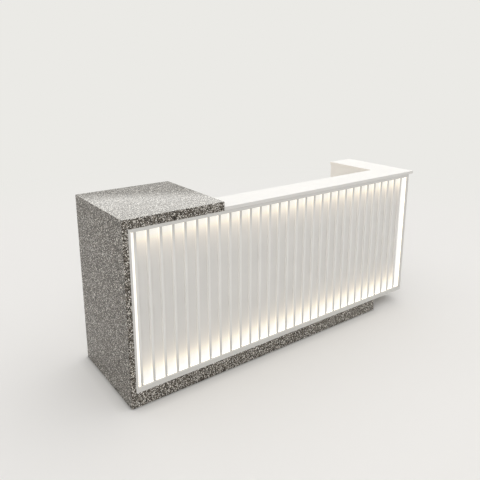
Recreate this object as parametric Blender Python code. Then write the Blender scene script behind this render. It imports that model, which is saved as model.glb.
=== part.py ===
"""A reception desk: a stone tower, a back-lit fluted front, a white counter and a fitted staff side.

Lengths are in metres and +Z is up. Visitors stand on the -Y side and staff on the +Y side. Every piece is
laid out from the desk's front left corner on the floor. One empty carries them all, and puts the origin in
the middle of the desk's footprint.
"""

import math

import bmesh
import bpy
from mathutils import Vector

# Overall sizes
DESK_HEIGHT = 1.100
TOWER_LENGTH = 0.635
TOWER_DEPTH = 0.675
BODY_LENGTH = 2.366
CARCASS_INSET = 0.035
WORKTOP_HEIGHT = 0.740
PLINTH_HEIGHT = 0.088

# Stone pieces
SLAB_THICKNESS = 0.055
SIDE_THICKNESS = 0.033
PLINTH_THICKNESS = 0.030
PLINTH_END_SETBACK = 0.321
STONE_ARRIS = 0.0015

# Counter top and worktop
COUNTER_THICKNESS = 0.022
COUNTER_DEPTH = 0.212
COUNTER_OVERHANG = 0.049
RETURN_WIDTH = 0.240
RETURN_BACK_INSET = 0.025
WORKTOP_THICKNESS = 0.025
WORKTOP_BACK_INSET = 0.015
COUNTER_CORNER = 0.003
COUNTER_ARRIS = 0.0012

# Boards
BOARD = 0.018
DECK_THICKNESS = 0.016
DECK_BEHIND_WALL = 0.017
TOE_SETBACK = 0.050
PEDESTAL_WIDTH = 0.420
BOARD_ARRIS = 0.0008

# Light box
FRAME_FACE = 0.013
FRAME_WEB = 0.005
LIP_REACH = 0.006
LIP_DEPTH = 0.003
LIPPED_SIDES = ("top", "right")
STRIP_WIDTH = 0.010
STRIP_THICKNESS = 0.002
STRIP_CLEARANCE = 0.0008
DIFFUSER_SKIN = 0.0015
DIFFUSER_LEG = 0.0012
GROOVE_BEFORE_PANEL = 0.0019
PANEL_BACK = 0.015
FIN_COUNT = 30
FIN_WIDTH = 0.015
FIN_DEPTH = 0.018
FIN_RECESS = 0.012
FIN_EDGE_RADIUS = 0.0025
FIRST_BAY = 0.021
LAST_BAY = 0.055

# LED driver
DRIVER_LENGTH = 0.190
DRIVER_HEIGHT = 0.046
DRIVER_DEPTH = 0.030
DRIVER_PLATE = 0.003
DRIVER_EAR = 0.018
DRIVER_SCREW_RADIUS = 0.0025
DRIVER_SCREW_SPACING = 0.030
DRIVER_DROP = 0.040
GLAND_RADIUS = 0.006
GLAND_LENGTH = 0.014

# Cupboard
SHELF_SIDE_CLEARANCE = 0.001
SHELF_BACK_CLEARANCE = 0.030
SHELF_DOOR_CLEARANCE = 0.042
SHELF_PIN_RADIUS = 0.003
SHELF_PIN_REACH = 0.010
SHELF_PIN_INSET = 0.060
DOOR_GAP = 0.003
HINGE_HEIGHT = 0.064
HINGE_END_INSET = 0.070
LEAF_MARGIN = 0.002
LEAF_THICKNESS = 0.0012
LEAF_GAP = 0.0006
HINGE_PIN_RADIUS = 0.0018
HINGE_PIN_HEAD = 0.0015
HINGE_PIN_HEAD_LIP = 0.0008
KNUCKLE_WALL = 0.0014
LOCK_EDGE_INSET = 0.026
LOCK_DROP = 0.064
LOCK_PLUG_RADIUS = 0.006
LOCK_WALL = 0.0027
LOCK_FLANGE_LIP = 0.0025
LOCK_FLANGE = 0.0025
LOCK_FLANGE_RIM = 0.0012
LOCK_COLLAR_LIP = 0.003
LOCK_COLLAR = 0.004
KEYWAY_WIDTH = 0.0016
KEYWAY_HEIGHT = 0.007
KEYWAY_DEPTH = 0.006
CAM_WIDTH = 0.014
CAM_THICKNESS = 0.003
CAM_BITE = 0.008
CAM_CORNER = 0.0035

# Handles
HANDLE_LENGTH = 0.150
HANDLE_REACH = 0.028
HANDLE_BAR = 0.008
HANDLE_WIDTH = 0.012
HANDLE_CORNER = 0.010
HANDLE_INNER_CORNER = 0.006
HANDLE_ARRIS = 0.0010
DOOR_HANDLE_EDGE_INSET = 0.026
DOOR_HANDLE_DROP = 0.200
DRAWER_HANDLE_DROP = 0.060

# Drawers
UPPER_FRONT_HEIGHT = 0.240
BOX_RISE = 0.016
BOX_DROP = 0.090
BOX_BACK_CLEARANCE = 0.078
BOX_WALL = 0.012
BOX_BOTTOM = 0.010
RUNNER_SPACE = 0.0127
RUNNER_END_CLEARANCE = 0.030
RUNNER_HEIGHT = 0.045
RUNNER_STEEL = 0.0015
RUNNER_RISE = 0.040

# Cable grommet
GROMMET_FROM_TOWER = 0.560
GROMMET_FROM_WALL = 0.090
GROMMET_RADIUS = 0.030
GROMMET_FLANGE_LIP = 0.006
GROMMET_FLANGE = 0.002
GROMMET_FLANGE_RIM = 0.0007
GROMMET_WALL = 0.0018
GROMMET_LEDGE = 0.0030
GROMMET_CAP = 0.003
CABLE_SLOT_WIDTH = 0.018
CABLE_SLOT_DEPTH = 0.016

# Clearances: a glued or resting seam, a sliding gap, and a gap round a turning piece
SEAM = 0.0003
SLIDE_GAP = 0.0005
TURN_GAP = 0.0003

# How far a cutter runs past the piece that it cuts
CUT_PAST = 0.010

# Facets on round pieces
ROUND_SIDES = 24
SMALL_ROUND_SIDES = 16
CORNER_STEPS = 3
SMOOTH_ANGLE = math.radians(35)

# Places worked out from the sizes: x from the left, y from the front, z from the floor
DESK_LENGTH = BODY_LENGTH + COUNTER_OVERHANG
CARCASS_TOP = DESK_HEIGHT - SLAB_THICKNESS
CARCASS_BACK = TOWER_DEPTH - CARCASS_INSET
BODY_LEFT = SIDE_THICKNESS + SEAM
DECK_BOTTOM = PLINTH_HEIGHT + SEAM
DECK_TOP = DECK_BOTTOM + DECK_THICKNESS
BOX_FLOOR = DECK_TOP + SEAM
BOARD_TOP = CARCASS_TOP - SEAM
PANEL_FACE = FIN_RECESS + FIN_DEPTH
FRAME_DEPTH = PANEL_FACE + PANEL_BACK
GROOVE_WIDTH = STRIP_WIDTH + 2 * (STRIP_CLEARANCE + DIFFUSER_LEG + SEAM)
GROOVE_END = PANEL_FACE - GROOVE_BEFORE_PANEL
GROOVE_START = GROOVE_END - GROOVE_WIDTH
WALL_FRONT = FRAME_DEPTH + SEAM
WALL_BACK = WALL_FRONT + BOARD
ROOM_FRONT = WALL_BACK + SEAM
DECK_BACK = WALL_BACK + DECK_BEHIND_WALL
TOE_FACE = CARCASS_BACK - TOE_SETBACK
PLINTH_RIGHT = BODY_LENGTH - PLINTH_END_SETBACK
TOWER_LEFT_FACE = BODY_LEFT + BOARD
TOWER_RIGHT_FACE = TOWER_LENGTH - BOARD
RETURN_INNER_FACE = DESK_LENGTH - RETURN_WIDTH
PEDESTAL_LEFT = RETURN_INNER_FACE - PEDESTAL_WIDTH
PEDESTAL_FACE = PEDESTAL_LEFT + BOARD
WORKTOP_BOTTOM = WORKTOP_HEIGHT - WORKTOP_THICKNESS
FIXED_SHELF_BOTTOM = WORKTOP_HEIGHT - BOARD
LOOSE_SHELF_BOTTOM = (DECK_TOP + FIXED_SHELF_BOTTOM) / 2
FRONT_FACE_INNER = CARCASS_BACK - BOARD
FRONT_REST = FRONT_FACE_INNER - SEAM
LEAF_WIDTH = BOARD - LEAF_MARGIN
KNUCKLE_RADIUS = HINGE_PIN_RADIUS + TURN_GAP + KNUCKLE_WALL
HINGE_GAP = 2 * (SEAM + LEAF_THICKNESS) + LEAF_GAP
DOOR_LEFT = TOWER_LEFT_FACE + HINGE_GAP
DOOR_RIGHT = TOWER_RIGHT_FACE - DOOR_GAP
DOOR_BOTTOM = DECK_TOP + DOOR_GAP
DOOR_TOP = FIXED_SHELF_BOTTOM - DOOR_GAP
HINGE_AXIS_X = TOWER_LEFT_FACE + HINGE_GAP / 2
HINGE_AXIS_Y = CARCASS_BACK + SEAM + KNUCKLE_RADIUS
LOCK_X = DOOR_RIGHT - LOCK_EDGE_INSET
LOCK_Z = DOOR_TOP - LOCK_DROP
CAM_LENGTH = TOWER_RIGHT_FACE + CAM_BITE - LOCK_X
CAM_BACK = FRONT_REST - LOCK_COLLAR - TURN_GAP
LOCK_BARREL_RADIUS = LOCK_PLUG_RADIUS + TURN_GAP + LOCK_WALL
BOX_START = ROOM_FRONT + BOX_BACK_CLEARANCE
RUNNER_START = BOX_START + RUNNER_END_CLEARANCE
GROMMET_X = TOWER_LENGTH + GROMMET_FROM_TOWER
GROMMET_Y = WALL_BACK + GROMMET_FROM_WALL

AXES = {"X": (1, 2), "Y": (0, 2), "Z": (0, 1)}


def finish(name, colour, roughness, metallic=0.0):
    """A plain Principled material in the colour of one real finish."""
    material = bpy.data.materials.new(name)
    material.use_nodes = True
    shader = material.node_tree.nodes["Principled BSDF"]
    shader.inputs["Base Color"].default_value = (*colour, 1.0)
    shader.inputs["Roughness"].default_value = roughness
    shader.inputs["Metallic"].default_value = metallic
    return material


def carrier(name, place, parent=None):
    """An empty that carries pieces. A moving body's carrier stands on its joint's axis."""
    empty = bpy.data.objects.new(name, None)
    bpy.context.scene.collection.objects.link(empty)
    empty.parent = parent
    origin = Vector(parent["place"]) if parent else Vector((0.0, 0.0, 0.0))
    empty.location = Vector(place) - origin
    empty["place"] = tuple(place)
    return empty


def add_piece(name, solid, material, carried_by):
    """Turn a solid, laid out in desk places, into a named object on its carrier."""
    bmesh.ops.translate(solid, verts=solid.verts, vec=-Vector(carried_by["place"]))
    bmesh.ops.recalc_face_normals(solid, faces=solid.faces)
    mesh = bpy.data.meshes.new(name)
    solid.to_mesh(mesh)
    solid.free()
    mesh.materials.append(material)
    mesh.shade_smooth()
    mesh.set_sharp_from_angle(angle=SMOOTH_ANGLE)
    piece = bpy.data.objects.new(name, mesh)
    bpy.context.scene.collection.objects.link(piece)
    piece.parent = carried_by
    return piece


def prism(outline, axis, start, end, arris=0.0):
    """Extrude a closed outline along an axis, with an arris taken off the rims of its two ends.

    The outline holds the other two coordinates, in x, y, z order.
    """
    first, second = AXES[axis]
    along = 3 - first - second
    layers = [(outline, start), (outline, end)]
    if arris > 0.0:
        smaller = inset(outline, arris)
        layers = [(smaller, start), (outline, start + arris), (outline, end - arris), (smaller, end)]
    solid = bmesh.new()
    rings = []
    for points, level in layers:
        ring = []
        for point in points:
            place = [0.0, 0.0, 0.0]
            place[first], place[second] = point
            place[along] = level
            ring.append(solid.verts.new(place))
        rings.append(ring)
    skin(solid, rings)
    return solid


def inset(outline, distance):
    """Move every side of a closed outline inwards by a distance."""
    count = len(outline)
    corners = [Vector(point) for point in outline]
    area = sum(corners[index - 1].cross(corners[index]) for index in range(count))
    inward = 1 if area > 0 else -1
    sides = [(corners[(index + 1) % count] - corners[index]).normalized() for index in range(count)]
    normals = [Vector((-side.y, side.x)) * inward for side in sides]
    moved = []
    for index in range(count):
        both = normals[index - 1] + normals[index]
        moved.append(tuple(corners[index] + both * distance / (1 + normals[index - 1].dot(normals[index]))))
    return moved


def skin(solid, rings):
    """Close a stack of matching rings of vertices into a solid: walls between them and a cap on each end."""
    for lower, upper in zip(rings, rings[1:]):
        for index in range(len(lower)):
            after = (index + 1) % len(lower)
            solid.faces.new((lower[index], lower[after], upper[after], upper[index]))
    solid.faces.new(rings[0])
    solid.faces.new(rings[-1])


def block(low, high):
    """A plain box between two corners."""
    outline = [(low[0], low[1]), (high[0], low[1]), (high[0], high[1]), (low[0], high[1])]
    return prism(outline, "Z", low[2], high[2])


def ease_edges(solid, radius, steps=1):
    """Take the sharp arris off every edge of a solid."""
    bmesh.ops.bevel(solid, geom=list(solid.edges), offset=radius, segments=steps, profile=0.5, affect="EDGES")
    return solid


def board(low, high):
    """A sheet of board with its edges eased."""
    return ease_edges(block(low, high), BOARD_ARRIS)


def rounded(outline, radii):
    """Replace the corners of an outline that have a radius with arcs."""
    points = []
    for index, corner in enumerate(outline):
        radius = radii.get(index, 0.0)
        here = Vector(corner)
        if radius == 0.0:
            points.append(tuple(here))
            continue
        before = (Vector(outline[index - 1]) - here).normalized()
        after = (Vector(outline[(index + 1) % len(outline)]) - here).normalized()
        half = before.angle(after) / 2
        centre = here + (before + after).normalized() * radius / math.sin(half)
        start = here + before * radius / math.tan(half) - centre
        end = here + after * radius / math.tan(half) - centre
        turn = start.angle_signed(end)
        for step in range(CORNER_STEPS + 1):
            angle = -turn * step / CORNER_STEPS
            sweep = Vector((start.x * math.cos(angle) - start.y * math.sin(angle),
                            start.x * math.sin(angle) + start.y * math.cos(angle)))
            points.append(tuple(centre + sweep))
    return points


def circle(centre, radius, sides):
    """Points round a circle."""
    turns = [2 * math.pi * side / sides for side in range(sides)]
    return [(centre[0] + radius * math.cos(turn), centre[1] + radius * math.sin(turn)) for turn in turns]


def turned(profile, place, axis, sides):
    """Turn a closed profile of (radius, level) points about an axis through a place."""
    first, second = AXES[axis]
    along = 3 - first - second
    solid = bmesh.new()
    rings = []
    for side in range(sides):
        turn = 2 * math.pi * side / sides
        ring = []
        for radius, level in profile:
            point = [0.0, 0.0, 0.0]
            point[first] = place[0] + radius * math.cos(turn)
            point[second] = place[1] + radius * math.sin(turn)
            point[along] = level
            ring.append(solid.verts.new(point))
        rings.append(ring)
    for side in range(sides):
        here = rings[side]
        there = rings[(side + 1) % sides]
        for index in range(len(profile)):
            after = (index + 1) % len(profile)
            solid.faces.new((here[index], here[after], there[after], there[index]))
    return solid


def combine(first, second, operation):
    """Join two solids (UNION) or cut the second out of the first (DIFFERENCE)."""
    pieces = []
    for solid in (first, second):
        bmesh.ops.recalc_face_normals(solid, faces=solid.faces)
        mesh = bpy.data.meshes.new("solid")
        solid.to_mesh(mesh)
        solid.free()
        piece = bpy.data.objects.new("solid", mesh)
        bpy.context.scene.collection.objects.link(piece)
        pieces.append(piece)
    target, tool = pieces
    boolean = target.modifiers.new("combine", "BOOLEAN")
    boolean.object = tool
    boolean.operation = operation
    boolean.solver = "EXACT"
    evaluated = target.evaluated_get(bpy.context.evaluated_depsgraph_get())
    result = bmesh.new()
    result.from_mesh(evaluated.to_mesh())
    for piece in pieces:
        bpy.data.objects.remove(piece, do_unlink=True)
    return result


def build_stone(desk, terrazzo):
    """The side panel stands on the floor, the slab lies on it, and the plinth carries the front."""
    side = block((0.0, 0.0, 0.0), (SIDE_THICKNESS, TOWER_DEPTH, BOARD_TOP))
    add_piece("stone_side_panel", ease_edges(side, STONE_ARRIS, 2), terrazzo, desk)
    slab = block((0.0, 0.0, CARCASS_TOP), (TOWER_LENGTH, TOWER_DEPTH, DESK_HEIGHT))
    add_piece("stone_top_slab", ease_edges(slab, STONE_ARRIS, 2), terrazzo, desk)
    front = block((BODY_LEFT, 0.0, 0.0), (PLINTH_RIGHT, PLINTH_THICKNESS, PLINTH_HEIGHT))
    add_piece("plinth_front", ease_edges(front, STONE_ARRIS), terrazzo, desk)
    end = block((PLINTH_RIGHT - PLINTH_THICKNESS, PLINTH_THICKNESS + SEAM, 0.0),
                (PLINTH_RIGHT, TOE_FACE, PLINTH_HEIGHT))
    add_piece("plinth_end", ease_edges(end, STONE_ARRIS), terrazzo, desk)


def build_decks(desk, lacquer, melamine):
    """Decks lie on the plinth, and toe kicks close the space under them on the staff side."""
    add_piece("front_deck", board((BODY_LEFT, 0.0, DECK_BOTTOM), (BODY_LENGTH, DECK_BACK, DECK_TOP)),
              lacquer, desk)
    tower = board((TOWER_LEFT_FACE + SEAM, DECK_BACK + SEAM, DECK_BOTTOM),
                  (TOWER_RIGHT_FACE - SEAM, CARCASS_BACK, DECK_TOP))
    add_piece("tower_bottom", tower, melamine, desk)
    pedestal = board((PEDESTAL_FACE + SEAM, DECK_BACK + SEAM, DECK_BOTTOM),
                     (BODY_LENGTH, CARCASS_BACK, DECK_TOP))
    add_piece("pedestal_bottom", pedestal, lacquer, desk)
    tower_kick = board((TOWER_LEFT_FACE + SEAM, TOE_FACE - BOARD, 0.0),
                       (TOWER_RIGHT_FACE - SEAM, TOE_FACE, PLINTH_HEIGHT))
    add_piece("tower_toe_kick", tower_kick, melamine, desk)
    pedestal_kick = board((PEDESTAL_FACE + SEAM, TOE_FACE - BOARD, 0.0),
                          (PLINTH_RIGHT - PLINTH_THICKNESS - SEAM, TOE_FACE, PLINTH_HEIGHT))
    add_piece("pedestal_toe_kick", pedestal_kick, melamine, desk)


def floor_standing_side(left, right, top):
    """An upright board that steps over the front deck and has a toe notch on the staff side."""
    outline = [
        (ROOM_FRONT, BOX_FLOOR),
        (DECK_BACK + SEAM, BOX_FLOOR),
        (DECK_BACK + SEAM, 0.0),
        (TOE_FACE, 0.0),
        (TOE_FACE, PLINTH_HEIGHT),
        (CARCASS_BACK, PLINTH_HEIGHT),
        (CARCASS_BACK, top),
        (ROOM_FRONT, top),
    ]
    return prism(outline, "X", left, right, BOARD_ARRIS)


def shelf_back_and_front():
    """Where the loose shelf starts and ends, from the front."""
    return ROOM_FRONT + SHELF_BACK_CLEARANCE, FRONT_FACE_INNER - SHELF_DOOR_CLEARANCE


def with_shelf_pins(side, face, direction):
    """Add the two pins that carry the loose shelf to the inner face of a tower side."""
    root = face - direction * BOARD / 2
    tip = face + direction * SHELF_PIN_REACH
    height = LOOSE_SHELF_BOTTOM - SEAM - SHELF_PIN_RADIUS
    back, front = shelf_back_and_front()
    for depth in (back + SHELF_PIN_INSET, front - SHELF_PIN_INSET):
        pin = prism(circle((depth, height), SHELF_PIN_RADIUS, SMALL_ROUND_SIDES), "X", root, tip)
        side = combine(side, pin, "UNION")
    return side


def lock_mortise():
    """The slot in the tower's right side that the lock's cam swings up into."""
    reach = CAM_LENGTH + TURN_GAP
    entry = math.sqrt(reach ** 2 - (TOWER_RIGHT_FACE - LOCK_X) ** 2)
    low = (TOWER_RIGHT_FACE - SEAM, CAM_BACK - CAM_THICKNESS - SLIDE_GAP, LOCK_Z - entry - CAM_WIDTH)
    high = (TOWER_RIGHT_FACE + CAM_BITE + SLIDE_GAP, CAM_BACK + SLIDE_GAP, LOCK_Z + CAM_WIDTH)
    return block(low, high)


def build_uprights(desk, lacquer, melamine):
    """The front wall, the tower's sides, the pedestal's side and the panels of the return."""
    wall = board((BODY_LEFT, WALL_FRONT, BOX_FLOOR), (BODY_LENGTH, WALL_BACK, BOARD_TOP))
    add_piece("front_wall", wall, lacquer, desk)
    outer = floor_standing_side(BODY_LEFT, TOWER_LEFT_FACE, BOARD_TOP)
    add_piece("tower_outer_side", with_shelf_pins(outer, TOWER_LEFT_FACE, 1), melamine, desk)
    inner = floor_standing_side(TOWER_RIGHT_FACE, TOWER_LENGTH, BOARD_TOP)
    inner = combine(with_shelf_pins(inner, TOWER_RIGHT_FACE, -1), lock_mortise(), "DIFFERENCE")
    add_piece("tower_inner_side", inner, lacquer, desk)
    pedestal = floor_standing_side(PEDESTAL_LEFT, PEDESTAL_FACE, WORKTOP_BOTTOM - SEAM)
    add_piece("pedestal_side", pedestal, lacquer, desk)
    return_inner_back = RETURN_INNER_FACE + BOARD
    return_outer_face = BODY_LENGTH - BOARD
    panel = board((RETURN_INNER_FACE, ROOM_FRONT, BOX_FLOOR), (return_inner_back, CARCASS_BACK, BOARD_TOP))
    add_piece("return_inner_panel", panel, lacquer, desk)
    panel = board((return_outer_face, ROOM_FRONT, BOX_FLOOR), (BODY_LENGTH, CARCASS_BACK, BOARD_TOP))
    add_piece("return_outer_panel", panel, lacquer, desk)
    panel = board((return_inner_back + SEAM, FRONT_FACE_INNER, BOX_FLOOR),
                  (return_outer_face - SEAM, CARCASS_BACK, BOARD_TOP))
    add_piece("return_rear_panel", panel, lacquer, desk)


def build_shelves(desk, melamine):
    """The fixed shelf is the floor of the open niche, and the loose one lies on pins in the cupboard."""
    fixed = board((TOWER_LEFT_FACE + SEAM, ROOM_FRONT, FIXED_SHELF_BOTTOM),
                  (TOWER_RIGHT_FACE - SEAM, CARCASS_BACK, WORKTOP_HEIGHT))
    add_piece("tower_fixed_shelf", fixed, melamine, desk)
    back, front = shelf_back_and_front()
    loose = board((TOWER_LEFT_FACE + SHELF_SIDE_CLEARANCE, back, LOOSE_SHELF_BOTTOM),
                  (TOWER_RIGHT_FACE - SHELF_SIDE_CLEARANCE, front, LOOSE_SHELF_BOTTOM + BOARD))
    add_piece("tower_loose_shelf", loose, melamine, desk)


def build_tops(desk, solid_surface, lacquer):
    """The L-shaped counter and, below it on the staff side, the worktop with its grommet hole."""
    left = TOWER_LENGTH + SEAM
    back = TOWER_DEPTH - RETURN_BACK_INSET
    outline = [
        (left, 0.0),
        (DESK_LENGTH, 0.0),
        (DESK_LENGTH, back),
        (RETURN_INNER_FACE, back),
        (RETURN_INNER_FACE, COUNTER_DEPTH),
        (left, COUNTER_DEPTH),
    ]
    corners = {index: COUNTER_CORNER for index in range(len(outline))}
    top = CARCASS_TOP + COUNTER_THICKNESS
    counter = prism(rounded(outline, corners), "Z", CARCASS_TOP, top, COUNTER_ARRIS)
    add_piece("counter_top", counter, solid_surface, desk)
    worktop = board((TOWER_LENGTH + SEAM, ROOM_FRONT, WORKTOP_BOTTOM),
                    (RETURN_INNER_FACE - SEAM, TOWER_DEPTH - WORKTOP_BACK_INSET, WORKTOP_HEIGHT))
    hole = prism(circle((GROMMET_X, GROMMET_Y), GROMMET_RADIUS + SEAM, ROUND_SIDES), "Z",
                 WORKTOP_BOTTOM - CUT_PAST, WORKTOP_HEIGHT + CUT_PAST)
    add_piece("worktop", combine(worktop, hole, "DIFFERENCE"), lacquer, desk)


def frame_profile(side):
    """A frame member's section, as (from the front, from the outer side) points, with the LED groove.

    The top rail and the right stile show a wider face: a thin lip that hides the diffuser behind it.
    """
    section = [
        (0.0, 0.0),
        (FRAME_DEPTH, 0.0),
        (FRAME_DEPTH, FRAME_FACE),
        (GROOVE_END, FRAME_FACE),
        (GROOVE_END, FRAME_WEB),
        (GROOVE_START, FRAME_WEB),
        (GROOVE_START, FRAME_FACE),
    ]
    if side not in LIPPED_SIDES:
        return section + [(0.0, FRAME_FACE)]
    lip_edge = FRAME_FACE + LIP_REACH
    return section + [(LIP_DEPTH, FRAME_FACE), (LIP_DEPTH, lip_edge), (0.0, lip_edge)]


def frame_sides():
    """Each frame member: its name, the point and directions that lay its section out, and its length."""
    low_x, high_x = BODY_LEFT, BODY_LENGTH
    low_z, high_z = BOX_FLOOR, BOARD_TOP
    across = Vector((1.0, 0.0, 0.0))
    up = Vector((0.0, 0.0, 1.0))
    return [
        ("top", "rail", Vector((low_x, 0.0, high_z)), across, -up, high_x - low_x),
        ("bottom", "rail", Vector((low_x, 0.0, low_z)), across, up, high_x - low_x),
        ("left", "stile", Vector((low_x, 0.0, low_z)), up, across, high_z - low_z),
        ("right", "stile", Vector((high_x, 0.0, low_z)), up, -across, high_z - low_z),
    ]


def run_of(profile, corner, along, inward, start, end, mitred):
    """Sweep a (depth, inward) section along one frame member, with mitred or square ends."""
    depth_way = Vector((0.0, 1.0, 0.0))
    solid = bmesh.new()
    rings = []
    for level, sign in ((start, 1), (end, -1)):
        ring = []
        for depth, offset in profile:
            shift = sign * offset if mitred else 0.0
            place = corner + depth_way * depth + inward * offset + along * (level + shift)
            ring.append(solid.verts.new(place))
        rings.append(ring)
    skin(solid, rings)
    return solid


def strip_profile():
    """The LED strip lies on the floor of the groove."""
    middle = (GROOVE_START + GROOVE_END) / 2
    low = FRAME_WEB + SEAM
    high = low + STRIP_THICKNESS
    front, back = middle - STRIP_WIDTH / 2, middle + STRIP_WIDTH / 2
    return [(front, low), (back, low), (back, high), (front, high)]


def diffuser_profile():
    """The opal cover closes the groove's mouth and stands on two legs beside the strip."""
    front = GROOVE_START + SEAM
    back = GROOVE_END - SEAM
    foot = FRAME_WEB + SEAM
    return [
        (front, foot),
        (front + DIFFUSER_LEG, foot),
        (front + DIFFUSER_LEG, FRAME_FACE - DIFFUSER_SKIN),
        (back - DIFFUSER_LEG, FRAME_FACE - DIFFUSER_SKIN),
        (back - DIFFUSER_LEG, foot),
        (back, foot),
        (back, FRAME_FACE),
        (front, FRAME_FACE),
    ]


def build_frame(desk, aluminium, led_board, opal):
    """Four mitred members, each with an LED strip and an opal diffuser in its groove."""
    for side, kind, corner, along, inward, length in frame_sides():
        member = run_of(frame_profile(side), corner, along, inward, SEAM, length - SEAM, True)
        add_piece(f"frame_{side}_{kind}", member, aluminium, desk)
        end_gap = FRAME_FACE + SEAM
        strip = run_of(strip_profile(), corner, along, inward, end_gap, length - end_gap, False)
        add_piece(f"led_strip_{side}", strip, led_board, desk)
        cover = run_of(diffuser_profile(), corner, along, inward, end_gap, length - end_gap, False)
        add_piece(f"led_diffuser_{side}", cover, opal, desk)


def build_fluted_panel(desk, lacquer):
    """One milled panel: a flat back with upright fins on its face, standing between the rails."""
    left = BODY_LEFT + FRAME_FACE + SEAM
    right = BODY_LENGTH - FRAME_FACE - SEAM
    first = left + FIRST_BAY
    pitch = (right - LAST_BAY - FIN_WIDTH - first) / (FIN_COUNT - 1)
    outline = [(left, FRAME_DEPTH), (right, FRAME_DEPTH), (right, PANEL_FACE)]
    radii = {}
    for fin in reversed(range(FIN_COUNT)):
        fin_left = first + fin * pitch
        fin_right = fin_left + FIN_WIDTH
        radii[len(outline) + 1] = FIN_EDGE_RADIUS
        radii[len(outline) + 2] = FIN_EDGE_RADIUS
        outline += [(fin_right, PANEL_FACE), (fin_right, FIN_RECESS)]
        outline += [(fin_left, FIN_RECESS), (fin_left, PANEL_FACE)]
    outline.append((left, PANEL_FACE))
    low = BOX_FLOOR + FRAME_FACE + SEAM
    high = BOARD_TOP - FRAME_FACE - SEAM
    add_piece("fluted_panel", prism(rounded(outline, radii), "Z", low, high), lacquer, desk)


def build_driver(desk, steel):
    """The LED driver hangs on the front wall inside the cupboard. It has ears, screw holes and two glands."""
    middle = (TOWER_LEFT_FACE + TOWER_RIGHT_FACE) / 2
    top = FIXED_SHELF_BOTTOM - DRIVER_DROP
    centre_z = top - DRIVER_HEIGHT / 2
    left, right = middle - DRIVER_LENGTH / 2, middle + DRIVER_LENGTH / 2
    depth = ROOM_FRONT + DRIVER_DEPTH
    case = ease_edges(block((left, ROOM_FRONT, top - DRIVER_HEIGHT), (right, depth, top)), DRIVER_PLATE)
    plate = block((left - DRIVER_EAR, ROOM_FRONT, top - DRIVER_HEIGHT + DRIVER_PLATE),
                  (right + DRIVER_EAR, ROOM_FRONT + DRIVER_PLATE, top - DRIVER_PLATE))
    driver = combine(case, plate, "UNION")
    gland_axis = (ROOM_FRONT + DRIVER_DEPTH / 2, centre_z)
    gland = prism(circle(gland_axis, GLAND_RADIUS, SMALL_ROUND_SIDES), "X",
                  left - GLAND_LENGTH, right + GLAND_LENGTH)
    driver = combine(driver, gland, "UNION")
    for ear in (left - DRIVER_EAR / 2, right + DRIVER_EAR / 2):
        for screw_z in (centre_z - DRIVER_SCREW_SPACING / 2, centre_z + DRIVER_SCREW_SPACING / 2):
            screw = prism(circle((ear, screw_z), DRIVER_SCREW_RADIUS, SMALL_ROUND_SIDES), "Y",
                          ROOM_FRONT - CUT_PAST, ROOM_FRONT + DRIVER_PLATE + CUT_PAST)
            driver = combine(driver, screw, "DIFFERENCE")
    add_piece("led_driver", driver, steel, desk)


def bow_handle(centre, axis):
    """A square bow handle on a front face, its length along X or Z."""
    face = CARCASS_BACK + SEAM
    middle = centre[0] if axis == "X" else centre[1]
    across = centre[1] if axis == "X" else centre[0]
    low, high = middle - HANDLE_LENGTH / 2, middle + HANDLE_LENGTH / 2
    out = face + HANDLE_REACH
    profile = [
        (low, face),
        (low, out),
        (high, out),
        (high, face),
        (high - HANDLE_BAR, face),
        (high - HANDLE_BAR, out - HANDLE_BAR),
        (low + HANDLE_BAR, out - HANDLE_BAR),
        (low + HANDLE_BAR, face),
    ]
    outer, inner = HANDLE_CORNER, HANDLE_INNER_CORNER
    profile = rounded(profile, {1: outer, 2: outer, 5: inner, 6: inner})
    if axis == "Z":
        profile = [(depth, along) for along, depth in profile]
    sweep = "Z" if axis == "X" else "X"
    return prism(profile, sweep, across - HANDLE_WIDTH / 2, across + HANDLE_WIDTH / 2, HANDLE_ARRIS)


def hinge_levels(bottom):
    """The heights where a hinge's three knuckles begin and end."""
    third = HINGE_HEIGHT / 3
    return [(bottom + third * count + TURN_GAP / 2, bottom + third * (count + 1) - TURN_GAP / 2)
            for count in range(3)]


def hinge_leaf(bottom, leaf_left, knuckles):
    """A leaf in the gap beside the door, rolled round the pin at the given knuckles."""
    plate_back = HINGE_AXIS_Y - KNUCKLE_RADIUS - TURN_GAP
    plate_front = CARCASS_BACK - LEAF_WIDTH
    outline = [(plate_front, bottom), (plate_back, bottom)]
    for low, high in knuckles:
        outline += [(plate_back, low + TURN_GAP), (HINGE_AXIS_Y, low + TURN_GAP)]
        outline += [(HINGE_AXIS_Y, high - TURN_GAP), (plate_back, high - TURN_GAP)]
    outline += [(plate_back, bottom + HINGE_HEIGHT), (plate_front, bottom + HINGE_HEIGHT)]
    leaf = prism(outline, "X", leaf_left, leaf_left + LEAF_THICKNESS)
    axis = (HINGE_AXIS_X, HINGE_AXIS_Y)
    for low, high in knuckles:
        barrel = prism(circle(axis, KNUCKLE_RADIUS, SMALL_ROUND_SIDES), "Z", low, high)
        leaf = combine(leaf, barrel, "UNION")
    bore = prism(circle(axis, HINGE_PIN_RADIUS + TURN_GAP, SMALL_ROUND_SIDES), "Z",
                 bottom - CUT_PAST, bottom + HINGE_HEIGHT + CUT_PAST)
    return combine(leaf, bore, "DIFFERENCE")


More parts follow.
